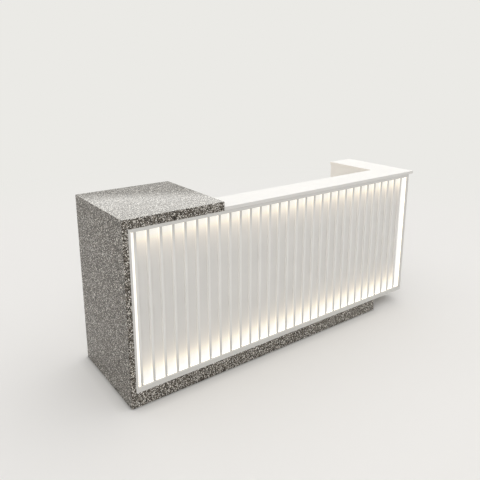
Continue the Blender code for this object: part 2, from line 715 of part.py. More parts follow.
def hinge_pin(bottom):
    """A pin with a head at each end, dropped through the knuckles."""
    top = bottom + HINGE_HEIGHT
    head = HINGE_PIN_RADIUS + HINGE_PIN_HEAD_LIP
    steps = [
        (head, bottom - HINGE_PIN_HEAD),
        (head, bottom - TURN_GAP / 2),
        (HINGE_PIN_RADIUS, bottom - TURN_GAP / 2),
        (HINGE_PIN_RADIUS, top + TURN_GAP / 2),
        (head, top + TURN_GAP / 2),
        (head, top + HINGE_PIN_HEAD),
    ]
    solid = bmesh.new()
    rings = []
    for radius, level in steps:
        points = circle((HINGE_AXIS_X, HINGE_AXIS_Y), radius, SMALL_ROUND_SIDES)
        rings.append([solid.verts.new((x, y, level)) for x, y in points])
    skin(solid, rings)
    return solid


def build_hinges(desk, door_axis, steel):
    """Two butt hinges: one leaf on the tower's side, one on the door's edge, and a pin through both."""
    bottoms = {"lower": DOOR_BOTTOM + HINGE_END_INSET, "upper": DOOR_TOP - HINGE_END_INSET - HINGE_HEIGHT}
    for place, bottom in bottoms.items():
        low, middle, high = hinge_levels(bottom)
        frame_leaf = hinge_leaf(bottom, TOWER_LEFT_FACE + SEAM, [low, high])
        add_piece(f"{place}_hinge_frame_leaf", frame_leaf, steel, desk)
        door_leaf = hinge_leaf(bottom, DOOR_LEFT - SEAM - LEAF_THICKNESS, [middle])
        add_piece(f"{place}_hinge_door_leaf", door_leaf, steel, door_axis)
        add_piece(f"{place}_hinge_pin", hinge_pin(bottom), steel, desk)


def build_door(door_axis, lacquer, steel):
    """The cupboard door fills its opening flush, with a bow handle on its free side."""
    door = board((DOOR_LEFT, FRONT_FACE_INNER, DOOR_BOTTOM), (DOOR_RIGHT, CARCASS_BACK, DOOR_TOP))
    bore = prism(circle((LOCK_X, LOCK_Z), LOCK_BARREL_RADIUS + SEAM, ROUND_SIDES), "Y",
                 FRONT_FACE_INNER - CUT_PAST, CARCASS_BACK + CUT_PAST)
    add_piece("cupboard_door", combine(door, bore, "DIFFERENCE"), lacquer, door_axis)
    handle = bow_handle((DOOR_RIGHT - DOOR_HANDLE_EDGE_INSET, DOOR_TOP - DOOR_HANDLE_DROP), "Z")
    add_piece("cupboard_handle", handle, steel, door_axis)


def build_lock(door_axis, plug_axis, steel):
    """A cam lock: a flanged housing clamped through the door, and a plug with a keyway and a cam."""
    bore = LOCK_PLUG_RADIUS + TURN_GAP
    barrel = LOCK_BARREL_RADIUS
    seat = CARCASS_BACK + SEAM
    face = seat + LOCK_FLANGE
    housing_profile = [
        (bore, FRONT_REST - LOCK_COLLAR),
        (barrel + LOCK_COLLAR_LIP, FRONT_REST - LOCK_COLLAR),
        (barrel + LOCK_COLLAR_LIP, FRONT_REST),
        (barrel, FRONT_REST),
        (barrel, seat),
        (barrel + LOCK_FLANGE_LIP, seat),
        (barrel + LOCK_FLANGE_LIP, seat + LOCK_FLANGE_RIM),
        (barrel, face),
        (bore, face),
    ]
    housing = turned(housing_profile, (LOCK_X, LOCK_Z), "Y", ROUND_SIDES)
    add_piece("cupboard_lock_housing", housing, steel, door_axis)
    plug_face = face - TURN_GAP
    plug = prism(circle((LOCK_X, LOCK_Z), LOCK_PLUG_RADIUS, ROUND_SIDES), "Y",
                 CAM_BACK - CAM_THICKNESS / 2, plug_face)
    half = CAM_WIDTH / 2
    cam_outline = [
        (LOCK_X - half, LOCK_Z + half),
        (LOCK_X - half, LOCK_Z - CAM_LENGTH),
        (LOCK_X + half, LOCK_Z - CAM_LENGTH),
        (LOCK_X + half, LOCK_Z + half),
    ]
    cam_outline = rounded(cam_outline, {corner: CAM_CORNER for corner in range(len(cam_outline))})
    cam = prism(cam_outline, "Y", CAM_BACK - CAM_THICKNESS, CAM_BACK)
    plug = combine(plug, cam, "UNION")
    keyway = block((LOCK_X - KEYWAY_WIDTH / 2, plug_face - KEYWAY_DEPTH, LOCK_Z - KEYWAY_HEIGHT / 2),
                   (LOCK_X + KEYWAY_WIDTH / 2, plug_face + CUT_PAST, LOCK_Z + KEYWAY_HEIGHT / 2))
    add_piece("cupboard_lock_plug", combine(plug, keyway, "DIFFERENCE"), steel, plug_axis)


def drawer_fronts():
    """The bottom and top of each drawer's front, from the deck up to the worktop."""
    upper_top = WORKTOP_BOTTOM - DOOR_GAP
    upper_bottom = upper_top - UPPER_FRONT_HEIGHT
    return {
        "upper": (upper_bottom, upper_top),
        "lower": (DECK_TOP + DOOR_GAP, upper_bottom - DOOR_GAP),
    }


def drawer_box(low, high):
    """An open-topped box with four walls and a bottom."""
    outer = block(low, high)
    inner = block((low[0] + BOX_WALL, low[1] + BOX_WALL, low[2] + BOX_BOTTOM),
                  (high[0] - BOX_WALL, high[1] - BOX_WALL, high[2] + CUT_PAST))
    return combine(outer, inner, "DIFFERENCE")


def channel(wall, opening, bottom, height):
    """A steel channel as long as a runner: a web against a wall and two flanges that reach to an opening."""
    steel = RUNNER_STEEL if opening > wall else -RUNNER_STEEL
    top = bottom + height
    outline = [
        (wall, bottom),
        (opening, bottom),
        (opening, bottom + RUNNER_STEEL),
        (wall + steel, bottom + RUNNER_STEEL),
        (wall + steel, top - RUNNER_STEEL),
        (opening, top - RUNNER_STEEL),
        (opening, top),
        (wall, top),
    ]
    return prism(outline, "Y", RUNNER_START, FRONT_REST)


def build_runners(name, hand, cabinet_face, box_face, bottom, desk, drawer, steel):
    """A two-part runner: the cabinet channel on the cabinet, and the drawer channel that slides in it."""
    toward = 1 if box_face > cabinet_face else -1
    lap = RUNNER_STEEL + SLIDE_GAP
    cabinet_wall = cabinet_face + toward * SEAM
    box_wall = box_face - toward * SEAM
    cabinet = channel(cabinet_wall, box_wall - toward * lap, bottom, RUNNER_HEIGHT)
    add_piece(f"{name}_drawer_{hand}_cabinet_runner", cabinet, steel, desk)
    slide = channel(box_wall, cabinet_wall + toward * lap, bottom + lap, RUNNER_HEIGHT - 2 * lap)
    add_piece(f"{name}_drawer_{hand}_drawer_runner", slide, steel, drawer)


def build_drawers(desk, lacquer, birch, steel):
    """Two drawers on runners. Each has an applied front, a box and a bow handle."""
    for name, (bottom, top) in drawer_fronts().items():
        drawer = carrier(f"{name}_drawer", (PEDESTAL_FACE, CARCASS_BACK, bottom), desk)
        left, right = PEDESTAL_FACE + DOOR_GAP, RETURN_INNER_FACE - DOOR_GAP
        front = board((left, FRONT_FACE_INNER, bottom), (right, CARCASS_BACK, top))
        add_piece(f"{name}_drawer_front", front, lacquer, drawer)
        handle = bow_handle(((left + right) / 2, top - DRAWER_HANDLE_DROP), "X")
        add_piece(f"{name}_drawer_handle", handle, steel, drawer)
        box_left, box_right = PEDESTAL_FACE + RUNNER_SPACE, RETURN_INNER_FACE - RUNNER_SPACE
        box_bottom = bottom + BOX_RISE
        box_top = box_bottom + top - bottom - BOX_DROP
        box = drawer_box((box_left, BOX_START, box_bottom), (box_right, FRONT_REST, box_top))
        add_piece(f"{name}_drawer_box", box, birch, drawer)
        runner_bottom = box_bottom + RUNNER_RISE
        build_runners(name, "left", PEDESTAL_FACE, box_left, runner_bottom, desk, drawer, steel)
        build_runners(name, "right", RETURN_INNER_FACE, box_right, runner_bottom, desk, drawer, steel)


def build_grommet(desk, plastic):
    """A flanged ring in the worktop's hole, with a ledge that carries a turning cap with a cable slot."""
    top = WORKTOP_HEIGHT + SEAM + GROMMET_FLANGE
    cap_radius = GROMMET_RADIUS - GROMMET_WALL - TURN_GAP
    ledge_level = top - GROMMET_CAP - TURN_GAP
    ledge_radius = cap_radius - GROMMET_LEDGE
    seat = WORKTOP_HEIGHT + SEAM
    flange_radius = GROMMET_RADIUS + GROMMET_FLANGE_LIP
    inner_radius = GROMMET_RADIUS - GROMMET_WALL
    ring_profile = [
        (GROMMET_RADIUS, WORKTOP_BOTTOM),
        (GROMMET_RADIUS, seat),
        (flange_radius, seat),
        (flange_radius, seat + GROMMET_FLANGE_RIM),
        (flange_radius - GROMMET_FLANGE, top),
        (inner_radius, top),
        (inner_radius, ledge_level),
        (ledge_radius, ledge_level),
        (ledge_radius, ledge_level - GROMMET_FLANGE),
        (inner_radius, ledge_level - GROMMET_FLANGE - GROMMET_LEDGE),
        (inner_radius, WORKTOP_BOTTOM),
    ]
    ring = turned(ring_profile, (GROMMET_X, GROMMET_Y), "Z", ROUND_SIDES)
    add_piece("grommet_ring", ring, plastic, desk)
    cap_axis = carrier("grommet_cap_axis", (GROMMET_X, GROMMET_Y, top), desk)
    cap_rim = cap_radius * math.cos(math.pi / ROUND_SIDES)
    cap = prism(circle((GROMMET_X, GROMMET_Y), cap_rim, ROUND_SIDES), "Z", top - GROMMET_CAP, top)
    slot_left, slot_right = GROMMET_X - CABLE_SLOT_WIDTH / 2, GROMMET_X + CABLE_SLOT_WIDTH / 2
    slot = block((slot_left, GROMMET_Y + cap_radius - CABLE_SLOT_DEPTH, top - GROMMET_CAP - CUT_PAST),
                 (slot_right, GROMMET_Y + cap_radius + CUT_PAST, top + CUT_PAST))
    add_piece("grommet_cap", combine(cap, slot, "DIFFERENCE"), plastic, cap_axis)


def main():
    """Clear the scene, make the finishes and the carriers, and build the desk from the floor up."""
    for existing in list(bpy.data.objects):
        bpy.data.objects.remove(existing, do_unlink=True)

    terrazzo = finish("dark_terrazzo", (0.190, 0.180, 0.160), 0.25)
    solid_surface = finish("white_solid_surface", (0.860, 0.850, 0.830), 0.35)
    lacquer = finish("white_lacquer", (0.720, 0.700, 0.660), 0.40)
    melamine = finish("white_melamine", (0.740, 0.730, 0.710), 0.50)
    birch = finish("birch_plywood", (0.620, 0.490, 0.330), 0.55)
    aluminium = finish("white_powder_coat", (0.600, 0.580, 0.550), 0.45)
    opal = finish("opal_acrylic", (0.950, 0.900, 0.800), 0.30)
    led_board = finish("led_circuit_strip", (0.850, 0.820, 0.700), 0.45)
    steel = finish("brushed_steel", (0.560, 0.560, 0.550), 0.30, 1.0)
    plastic = finish("grey_plastic", (0.180, 0.180, 0.180), 0.45)

    base = carrier("base", (0.0, 0.0, 0.0))
    base.location = (-DESK_LENGTH / 2, -TOWER_DEPTH / 2, 0.0)
    door_axis = carrier("door_axis", (HINGE_AXIS_X, HINGE_AXIS_Y, DOOR_BOTTOM), base)
    plug_axis = carrier("plug_axis", (LOCK_X, CARCASS_BACK, LOCK_Z), door_axis)

    build_stone(base, terrazzo)
    build_decks(base, lacquer, melamine)
    build_uprights(base, lacquer, melamine)
    build_shelves(base, melamine)
    build_tops(base, solid_surface, lacquer)
    build_frame(base, aluminium, led_board, opal)
    build_fluted_panel(base, lacquer)
    build_driver(base, steel)
    build_hinges(base, door_axis, steel)
    build_door(door_axis, lacquer, steel)
    build_lock(door_axis, plug_axis, steel)
    build_drawers(base, lacquer, birch, steel)
    build_grommet(base, plastic)


main()
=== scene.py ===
# %% [markdown]
# # A reception desk: finishes, small hardware and studio light
# The desk arrives as a frame of sixty solid pieces, at their real size and on their moving bodies. This
# lesson dresses it: a finish for each real material, the screws that a joiner drives, a plain studio, and
# a camera that stands where the photographer stood. Nothing here moves or resizes a piece of the frame.

# %% Load the frame
import math

import bmesh
import bpy
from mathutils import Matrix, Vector


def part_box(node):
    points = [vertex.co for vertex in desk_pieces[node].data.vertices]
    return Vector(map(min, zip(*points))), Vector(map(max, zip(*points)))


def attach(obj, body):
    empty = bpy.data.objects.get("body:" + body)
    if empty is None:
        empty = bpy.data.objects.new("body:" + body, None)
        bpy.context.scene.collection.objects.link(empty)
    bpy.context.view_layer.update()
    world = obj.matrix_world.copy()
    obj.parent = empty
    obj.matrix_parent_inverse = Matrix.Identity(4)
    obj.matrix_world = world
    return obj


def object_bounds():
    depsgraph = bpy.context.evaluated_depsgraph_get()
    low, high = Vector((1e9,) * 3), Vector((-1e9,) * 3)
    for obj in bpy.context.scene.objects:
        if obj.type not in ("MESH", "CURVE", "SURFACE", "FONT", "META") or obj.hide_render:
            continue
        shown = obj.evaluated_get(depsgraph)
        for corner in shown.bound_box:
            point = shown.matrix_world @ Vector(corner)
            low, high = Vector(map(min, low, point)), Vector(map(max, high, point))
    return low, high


MM = 0.001

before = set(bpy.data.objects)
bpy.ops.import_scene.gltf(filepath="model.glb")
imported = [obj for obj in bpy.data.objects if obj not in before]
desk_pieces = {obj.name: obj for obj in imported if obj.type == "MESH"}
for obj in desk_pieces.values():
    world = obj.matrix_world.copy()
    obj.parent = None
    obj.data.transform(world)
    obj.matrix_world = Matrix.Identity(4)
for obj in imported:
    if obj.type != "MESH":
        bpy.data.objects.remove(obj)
cad_low, cad_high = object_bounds()
print("desk box in mm:", [round(side / MM) for side in cad_high - cad_low])

# %% [markdown]
# ## Colours and shader nodes
# A colour that is read off a screen is sRGB, while a renderer adds up light in linear numbers, so one
# function turns the first into the second. Shader trees are long lists of nodes. Written out in full they
# hide the idea, so one function adds a node, fills its sockets and links it. The others are the steps
# that every finish takes: a noise, a ramp of colours, a range, a sum, a blend.

# %% Helpers for colours and nodes
# The numbered sockets of a mix node for each kind: its two inputs and its result.
MIX_SOCKETS = {"FLOAT": (2, 3, 0), "VECTOR": (4, 5, 1), "RGBA": (6, 7, 2)}


def linear(colour):
    """Turn an sRGB hex colour into the linear RGBA that Blender's sockets take, by sRGB's own curve."""
    parts = [int(colour[start:start + 2], 16) / 255 for start in (1, 3, 5)]
    light = [part / 12.92 if part <= 0.04045 else ((part + 0.055) / 1.055) ** 2.4 for part in parts]
    return (*light, 1.0)


def add(tree, kind, inputs=None, **settings):
    """Add a node and return its outputs. An input is a plain value, or an earlier output to link."""
    node = tree.nodes.new(kind)
    for name, value in settings.items():
        setattr(node, name, value)
    for socket, value in (inputs or {}).items():
        if isinstance(value, bpy.types.NodeSocket):
            tree.links.new(value, node.inputs[socket])
        else:
            node.inputs[socket].default_value = value
    return node.outputs


def feed(tree, node, sources):
    """Link outputs into the named inputs of a node."""
    for socket, source in sources.items():
        tree.links.new(source, node.inputs[socket])


def noise(tree, place, size_mm, detail=2.0):
    """Soft noise whose lumps repeat about every so many millimetres."""
    return add(tree, "ShaderNodeTexNoise", {"Vector": place, "Scale": 1 / (size_mm * MM), "Detail": detail})


def ramp(tree, level, stops, stepped=False):
    """Turn a level into a colour, in a smooth run between the stops or in steps."""
    node = tree.nodes.new("ShaderNodeValToRGB")
    tree.links.new(level, node.inputs["Fac"])
    elements = node.color_ramp.elements
    for index, (position, colour) in enumerate(stops):
        stop = elements[index] if index < len(elements) else elements.new(position)
        stop.position = position
        stop.color = linear(colour)
    if stepped:
        node.color_ramp.interpolation = "CONSTANT"
    return node.outputs["Color"]


def remap(tree, value, inputs=(0.0, 1.0), outputs=(0.0, 1.0), **settings):
    """Stretch one range of a number to another."""
    ends = {"Value": value, "From Min": inputs[0], "From Max": inputs[1], "To Min": outputs[0],
            "To Max": outputs[1]}
    return add(tree, "ShaderNodeMapRange", ends, **settings)["Result"]


def calculate(tree, operation, *values):
    """Work out a number from one or two others."""
    return add(tree, "ShaderNodeMath", dict(enumerate(values)), operation=operation)[0]


def mix(tree, share, first, second, kind="FLOAT"):
    """Blend two numbers, vectors or colours."""
    first_socket, second_socket, result = MIX_SOCKETS[kind]
    inputs = {0: share, first_socket: first, second_socket: second}
    return add(tree, "ShaderNodeMix", inputs, data_type=kind)[result]


def scale(tree, vector, factor):
    """Multiply a vector or a colour by a number."""
    return add(tree, "ShaderNodeVectorMath", {0: vector, "Scale": factor}, operation="SCALE")["Vector"]


def split(tree, vector):
    """The X, Y and Z of a vector."""
    return add(tree, "ShaderNodeSeparateXYZ", {"Vector": vector})


print("white in linear light:", linear("#ffffff")[:3])

# %% [markdown]
# A finish starts with a material, its shader and the coordinates of the piece. Most finishes end alike
# too: one pattern varies the roughness and raises the surface a little.

# %% Helpers for finishes


def start_finish(name, sockets):
    """Start a material: the material, its tree, its shader with these sockets set, and its coordinates."""
    material = bpy.data.materials.new(name)
    material.use_nodes = True
    tree = material.node_tree
    shader = tree.nodes["Principled BSDF"]
    for socket, value in sockets.items():
        shader.inputs[socket].default_value = value
    return material, tree, shader, add(tree, "ShaderNodeTexCoord")


def give_relief(tree, shader, pattern, roughness, strength, depth_mm):
    """Let a pattern vary the roughness of a finish and raise its surface."""
    bump = add(tree, "ShaderNodeBump", {"Strength": strength, "Distance": depth_mm * MM, "Height": pattern})
    feed(tree, shader, {"Roughness": remap(tree, pattern, outputs=roughness), "Normal": bump["Normal"]})


def find_paint(material):
    """The tree, the shader and the base colour of a finish, and new coordinates to change it by."""
    tree = material.node_tree
    shader = tree.nodes["Principled BSDF"]
    paint = shader.inputs["Base Color"].links[0].from_socket
    return tree, shader, paint, add(tree, "ShaderNodeTexCoord")


print("finish helpers:", [helper.__name__ for helper in (start_finish, give_relief, find_paint)])

# %% [markdown]
# ## Terrazzo
# The tower's side, its slab and the plinth are terrazzo: marble chips cast in a dark binder, then ground
# flat. The top is polished and sealed, so it mirrors the room weakly at a low angle. The upright faces
# are only honed and keep a soft sheen. A picture of stone would do, but it repeats and shows its joints,
# so the chips are cells of two Voronoi patterns, a fine grit and a few larger stones. Each cell draws two
# random numbers. One says whether a chip lies there, and the other says which stone it is.

# %% Dark terrazzo
# A layer of chips: their size in mm, the share of cells that hold one, and the stones.
CHIP_LAYERS = [
    (3.8, 1.0, [(0.0, "#23211e"), (0.30, "#514c46"), (0.60, "#8b847a"), (0.78, "#b8b2a8"),
                (0.86, "#faf6ee")]),
    (7.0, 0.06, [(0.0, "#23211e"), (0.35, "#d6d1c8")]),
]
# A chip ends between these distances from the middle of its cell, in cell sizes.
CHIP_EDGE = (0.72, 0.60)
RAGGED_MM = 3.0
WOBBLE_MM = 1.5
NOISE_MIDDLE = (0.5, 0.5, 0.5)
BINDER_CLOUD_MM = 9.0
BINDER_TONES = [(0.30, "#443f38"), (0.72, "#6d655a")]
SMEAR_MM = 120.0
POLISHED = (0.012, 0.025)
HONED = (0.26, 0.34)
SEALER_MIRROR = 0.18
LEVEL_FACING = 0.5


def dark_terrazzo():
    """Terrazzo with pale and black chips in a grey binder, polished on top and honed on its upright faces."""
    sealer = {"IOR": 1.5, "Specular IOR Level": SEALER_MIRROR}
    material, tree, shader, where = start_finish("dark_terrazzo", sealer)
    ragged = noise(tree, where["Object"], RAGGED_MM)
    centred = add(tree, "ShaderNodeVectorMath", {0: ragged["Color"], 1: NOISE_MIDDLE}, operation="SUBTRACT")
    wobble = scale(tree, centred["Vector"], WOBBLE_MM * MM)
    place = add(tree, "ShaderNodeVectorMath", {0: where["Object"], 1: wobble})
    colour = ramp(tree, noise(tree, where["Object"], BINDER_CLOUD_MM, detail=4.0)["Fac"], BINDER_TONES)
    for size_mm, share, stones in CHIP_LAYERS:
        cells = add(tree, "ShaderNodeTexVoronoi", {"Vector": place["Vector"], "Scale": 1 / (size_mm * MM)})
        draw = add(tree, "ShaderNodeSeparateColor", {"Color": cells["Color"]})
        stone = ramp(tree, draw["Red"], stones, stepped=True)
        inside = remap(tree, cells["Distance"], inputs=CHIP_EDGE)
        present = calculate(tree, "LESS_THAN", draw["Green"], share)
        colour = mix(tree, calculate(tree, "MULTIPLY", inside, present), colour, stone, "RGBA")
    smear = noise(tree, where["Object"], SMEAR_MM, detail=3.0)["Fac"]
    level = calculate(tree, "GREATER_THAN", split(tree, where["Normal"])["Z"], LEVEL_FACING)
    gloss = mix(tree, level, remap(tree, smear, outputs=HONED), remap(tree, smear, outputs=POLISHED))
    feed(tree, shader, {"Base Color": colour, "Roughness": gloss})
    return material


terrazzo = dark_terrazzo()
print("terrazzo nodes:", len(terrazzo.node_tree.nodes))

# %% [markdown]
# ## White finishes
# Five whites meet on this desk, and they only look right if they differ. The counter is solid surface, a
# filled acrylic that is sanded to a satin. The fronts are sprayed lacquer, with the faint ripple that
# painters call orange peel, and the inner panel of the return has a warmer one. The cupboard's inside is
# melamine board, matt with a pearl emboss. The light box's frame is powder coated, which is grainier and
# greyer, and part of that grey is painted shade for the frame's lower rail. The deck under it takes the same
# grey as painted shade on its front edge. One function makes a white with a ripple and a cloud of tone, and
# each finish gives its own sizes.
#
# The counter's edges carry painted light and shade in their colour: a greyer front edge, which is painted
# shade, and a lighter, warmer edge over the return, which is painted light that matches the warm inner
# panel below it. A face is known by the way it looks, so a second function sorts them out.

# %% A rippled white and its five uses
CLOUD_MM = 160.0
CLOUD_STOPS = (0.30, 0.70)
RIPPLE_STRENGTH = 0.35
# Painted light on the counter's edge over the return, and painted shade on its front edge.
PAINTED_INNER_EDGE_LIGHT = "#fbf4ea"
PAINTED_FRONT_EDGE_SHADE = "#dddbd7"
BACK_FACING = -0.5


def rippled_white(name, tones, ripple_mm, depth_mm, roughness, ior=1.5, specular=0.5):
    """A white coating: two near tones in soft clouds, a ripple in its surface and a roughness that varies."""
    material, tree, shader, where = start_finish(name, {"IOR": ior, "Specular IOR Level": specular})
    cloud = noise(tree, where["Object"], CLOUD_MM, detail=3.0)["Fac"]
    feed(tree, shader, {"Base Color": ramp(tree, cloud, list(zip(CLOUD_STOPS, tones)))})
    ripple = noise(tree, where["Object"], ripple_mm)["Fac"]
    give_relief(tree, shader, ripple, roughness, RIPPLE_STRENGTH, depth_mm)
    return material


def paint_edge_light_and_shade(material, axis, tone):
    """Give the faces that look back along an axis another tone, which paints light and shade on them."""
    tree, shader, paint, where = find_paint(material)
    edge = calculate(tree, "LESS_THAN", split(tree, where["Normal"])[axis], BACK_FACING)
    feed(tree, shader, {"Base Color": mix(tree, edge, paint, linear(tone), "RGBA")})


solid_surface = rippled_white("white_solid_surface", ("#eeece8", "#f1efeb"), ripple_mm=1.5, depth_mm=0.02,
                              roughness=(0.42, 0.50), ior=1.49, specular=0.15)
lacquer = rippled_white("white_lacquer", ("#e4e2de", "#e8e6e2"), ripple_mm=4.0, depth_mm=0.06,
                        roughness=(0.30, 0.40))
warm_lacquer = rippled_white("warm_white_lacquer", ("#f8f2e8", "#faf4eb"), ripple_mm=4.0, depth_mm=0.06,
                             roughness=(0.30, 0.40))
melamine = rippled_white("white_melamine", ("#e3e1dd", "#e7e5e1"), ripple_mm=1.2, depth_mm=0.05,
                         roughness=(0.48, 0.60))
# Part of this coat's grey is painted shade for the frame's lower rail and the deck's front edge.
powder_coat_and_painted_shade = rippled_white("white_powder_coat", ("#cfcdc9", "#d3d1cd"), ripple_mm=0.9, depth_mm=0.06,
                            roughness=(0.42, 0.55))
# The counter's edge over the return gets painted light, and its front edge gets painted shade.
paint_edge_light_and_shade(solid_surface, "X", PAINTED_INNER_EDGE_LIGHT)
paint_edge_light_and_shade(solid_surface, "Y", PAINTED_FRONT_EDGE_SHADE)
print("whites:", solid_surface.name, lacquer.name, warm_lacquer.name, melamine.name, powder_coat_and_painted_shade.name)

# %% [markdown]
# ## The light box
# Behind the frame run four LED strips under opal acrylic covers. Their light washes over the fluted panel
# from all sides: short from the top, longer from the bottom, and full height in the first and last bay.
# Lamps in the scene could do it, but a lamp stays behind when the desk is exported, so the covers and the
# bays themselves glow: on the bays the LED light is painted as glow. The glow is worked out from the
# distance to each frame member. The bays' floors catch all of it, the fins' flanks most of it and a little
# painted light that bounces between them, and the fins' fronts none. Light and shade are painted into the
# panel's colour too: the bays' floors are a painted shade darker, the flanks a painted light brighter, and
# the fins' fronts a painted shade darker where the wash is strong.

# %% Opal covers
COVER_PAINT = "#f6efe1"
COVER_GLOW = "#fff6e6"
COVER_STRENGTH = 1.05
COVER_GRAIN = 0.06
COVER_GRAIN_MM = 25.0


def opal_acrylic():
    """Extruded opal acrylic, lit from behind: even light with a faint grain along it."""
    material, tree, shader, where = start_finish("opal_acrylic", {"IOR": 1.49, "Roughness": 0.3,
                                                                  "Base Color": linear(COVER_PAINT),
                                                                  "Emission Color": linear(COVER_GLOW)})
    grain = noise(tree, where["Object"], COVER_GRAIN_MM)["Fac"]
    levels = [COVER_STRENGTH * (1.0 + way * COVER_GRAIN) for way in (-1, 1)]
    feed(tree, shader, {"Emission Strength": remap(tree, grain, outputs=levels)})
    return material


opal = opal_acrylic()
print("covers:", opal.name)

# %% The washed panel
WASH_TONES = [(0.0, "#000000"), (0.10, "#595043"), (0.35, "#9f9581"), (0.50, "#a2a095"), (1.0, "#9b9fa2")]
# A wash is full up to the first distance from its frame member. Beyond it, it falls to 37 percent over each
# length of the second.
TOP_WASH_MM = (4.0, 53.0)
BOTTOM_WASH_MM = (19.0, 58.0)
LEFT_BAY_MM = 22.0
RIGHT_BAY_MM = 56.0
BAY_FLOOR_MM = 30.0
FLANK_MM = (14.0, 18.0)
SLACK_MM = 0.6
# Painted light and shade in the panel's colour: bay floors darker, fin flanks lighter, a little painted
# bounce glow on the flanks, and fin fronts darker where the wash is strong.
PAINTED_BAY_SHADE = 0.91
PAINTED_FLANK_LIGHT = 1.06
FLANK_CATCH = 0.75
PAINTED_BOUNCE_GLOW = 0.04
PAINTED_FIN_SHADE = 0.22
PAINTED_FIN_SHADE_WASH = 0.5


def wash_level(tree, axis):
    """How much light reaches each place on the panel, from its distance to the four frame members."""
    low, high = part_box("fluted_panel")
    wash = 0.0
    for edge, way, (start_mm, fade_mm) in ((high.z, -1, TOP_WASH_MM), (low.z, 1, BOTTOM_WASH_MM)):
        full = edge + way * start_mm * MM
        fade = remap(tree, axis["Z"], inputs=(full, full - way * fade_mm * MM), clamp=False)
        wash = calculate(tree, "ADD", calculate(tree, "EXPONENT", fade), wash)
    for edge, way, width_mm in ((low.x, 1, LEFT_BAY_MM), (high.x, -1, RIGHT_BAY_MM)):
        end = edge + way * width_mm * MM
        in_bay = remap(tree, axis["X"], inputs=(end + way * SLACK_MM * MM, end))
        wash = calculate(tree, "ADD", in_bay, wash)
    return wash


def washed_panel():
    """The fluted panel's lacquer: LED light painted as glow between its fins, and painted light and shade."""
    material = lacquer.copy()
    material.name = "back_lit_lacquer"
    tree, shader, paint, where = find_paint(material)
    shader.inputs["Emission Strength"].default_value = 1.0
    axis = split(tree, where["Object"])
    wash = wash_level(tree, axis)
    on_floor = calculate(tree, "GREATER_THAN", axis["Y"], cad_low.y + (BAY_FLOOR_MM - SLACK_MM) * MM)
    behind_fins = remap(tree, axis["Y"], inputs=[cad_low.y + depth_mm * MM for depth_mm in FLANK_MM])
    on_flank = calculate(tree, "SUBTRACT", behind_fins, on_floor)

    catch = calculate(tree, "MAXIMUM", calculate(tree, "MULTIPLY", behind_fins, FLANK_CATCH), on_floor)
    washed = ramp(tree, calculate(tree, "MULTIPLY", wash, catch), WASH_TONES)
    painted_bounce = calculate(tree, "MULTIPLY", on_flank, PAINTED_BOUNCE_GLOW)
    light = add(tree, "ShaderNodeVectorMath", {0: washed, 1: painted_bounce})

    # Painted shade on the fins' fronts where the wash is strong and on the bays' floors, painted light on the
    # flanks.
    painted_fin_shade = remap(tree, wash, inputs=(0.0, PAINTED_FIN_SHADE_WASH), outputs=(1.0, 1.0 - PAINTED_FIN_SHADE))
    painted_light_and_shade = mix(tree, on_floor, mix(tree, behind_fins, painted_fin_shade, PAINTED_FLANK_LIGHT), PAINTED_BAY_SHADE)
    feed(tree, shader, {"Base Color": scale(tree, paint, painted_light_and_shade), "Emission Color": light["Vector"]})
    return material


back_lit = washed_panel()
print("panel:", back_lit.name, "with", len(back_lit.node_tree.nodes), "nodes")

# %% [markdown]
# ## Metals
# The staff side has working parts. Handles and the lock are satin steel, brushed along their length, so
# their tone and roughness are drawn out in fine lines. Hinges, runners, screws and the driver's case are
# zinc plated, with a cloudy sheen. Metal has its colour in the reflection, so it is the mirror tone that
# is written down.

# %% Brushed and plated steel
BRUSH_STRETCH = 0.03
BRUSH_LINE_MM = 0.8
STEEL_TONES = [(0.25, "#b9b8b4"), (0.75, "#d2d1cd")]
ZINC_CLOUD_MM = 6.0
ZINC_TONES = [(0.3, "#a9adb0"), (0.7, "#c9ccce")]
ZINC_ROUGHNESS = (0.28, 0.46)


def brushed_steel(name, stretch):
    """Satin steel brushed along the axis where the stretch is smallest."""
    material, tree, shader, where = start_finish(name, {"Metallic": 1.0, "Anisotropic": 0.5})
    drawn = add(tree, "ShaderNodeMapping", {"Vector": where["Object"], "Scale": stretch})
    lines = noise(tree, drawn["Vector"], BRUSH_LINE_MM, detail=3.0)["Fac"]
    feed(tree, shader, {"Base Color": ramp(tree, lines, STEEL_TONES)})
    give_relief(tree, shader, lines, roughness=(0.22, 0.38), strength=0.15, depth_mm=0.02)
    return material


def zinc_plate():
    """Bright zinc on pressed steel, with soft clouds in its sheen."""
    material, tree, shader, where = start_finish("zinc_plated_steel", {"Metallic": 1.0})
    cloud = noise(tree, where["Object"], ZINC_CLOUD_MM, detail=4.0)["Fac"]
    feed(tree, shader, {"Base Color": ramp(tree, cloud, ZINC_TONES),
                        "Roughness": remap(tree, cloud, outputs=ZINC_ROUGHNESS)})
    return material


upright_steel = brushed_steel("upright_brushed_steel", (1.0, 1.0, BRUSH_STRETCH))
level_steel = brushed_steel("level_brushed_steel", (BRUSH_STRETCH, 1.0, 1.0))
zinc = zinc_plate()
print("metals:", upright_steel.name, level_steel.name, zinc.name)

# %% [markdown]
# ## Plywood
# The drawer boxes are birch plywood: calm grain along each wall, and stripes of veneer on the cut rim. A
# wall's own direction says which way its grain runs, and the distance to the nearest outer face says
# which veneer is cut, so one finish serves a whole box.

# %% Birch plywood
PLY_MM = 1.33
GRAIN_MM = 3.0
GRAIN_STRETCH = 0.04
RIM_SLACK_MM = 0.5
DEEPEST = 1.0
FACE_TONES = [(0.25, "#c6a577"), (0.55, "#d9bd92"), (0.80, "#e3cca6")]
VENEER_TONES = [(0.0, "#dcc29a"), (0.46, "#d6ba90"), (0.54, "#a17a4b"), (0.96, "#9a7447")]


